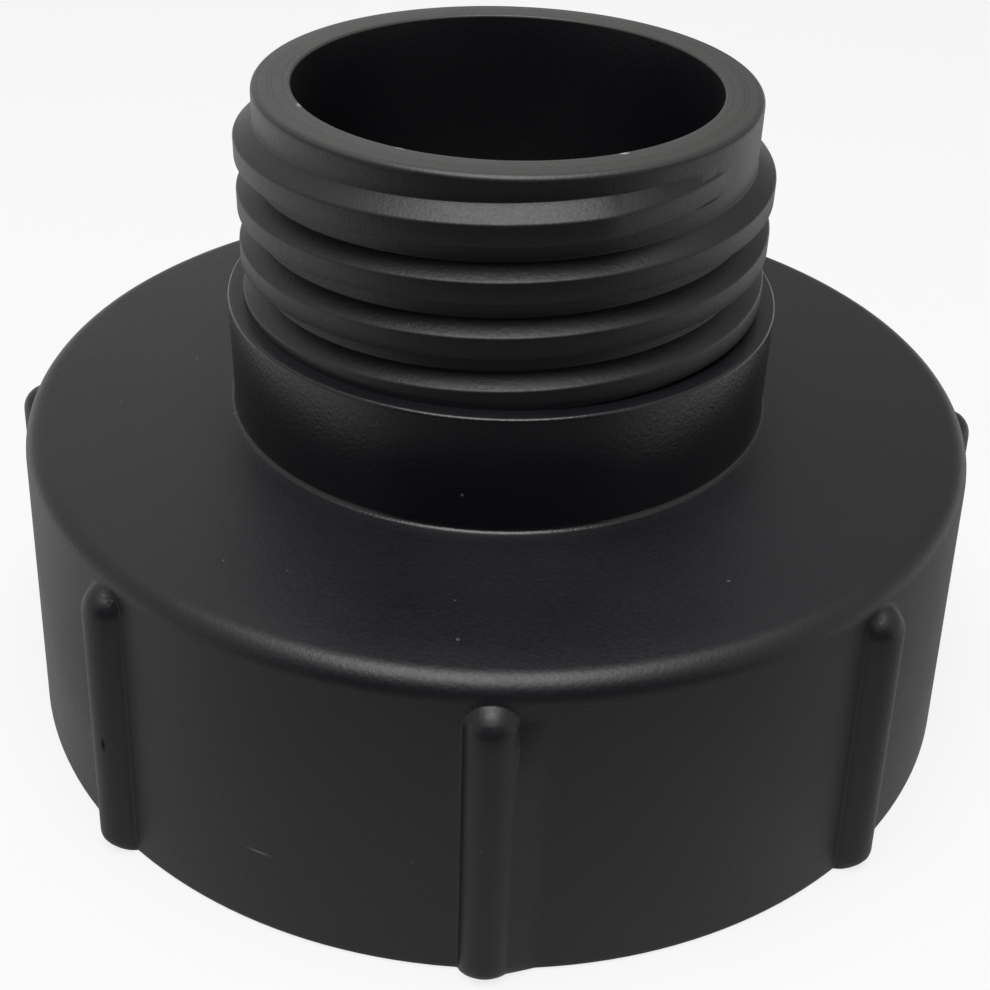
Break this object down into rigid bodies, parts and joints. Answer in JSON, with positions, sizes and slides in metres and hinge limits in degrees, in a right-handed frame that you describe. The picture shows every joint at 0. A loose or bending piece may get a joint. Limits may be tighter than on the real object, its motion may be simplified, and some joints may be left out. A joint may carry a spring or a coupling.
{
  "type": "ibc tap adapter",
  "caption": "Reducing adapter for a bulk liquid container: a wide ribbed socket with a coarse internal thread below, and a narrower neck with a coarse external thread above.",
  "frame": {"origin": "middle of the base plane, on the common axis of both threads", "axes": "+Z along the axis from the socket towards the neck, with a grip rib pointing along -Y and another along +X"},
  "size_m": [0.121, 0.121, 0.075],
  "materials": {
    "body_plastic": "fine matte",
    "gasket_rubber": "matte"
  },
  "bodies": {
    "root": {"adapter_body": "body_plastic", "sealing_gasket": "gasket_rubber"}
  },
  "joints": []
}
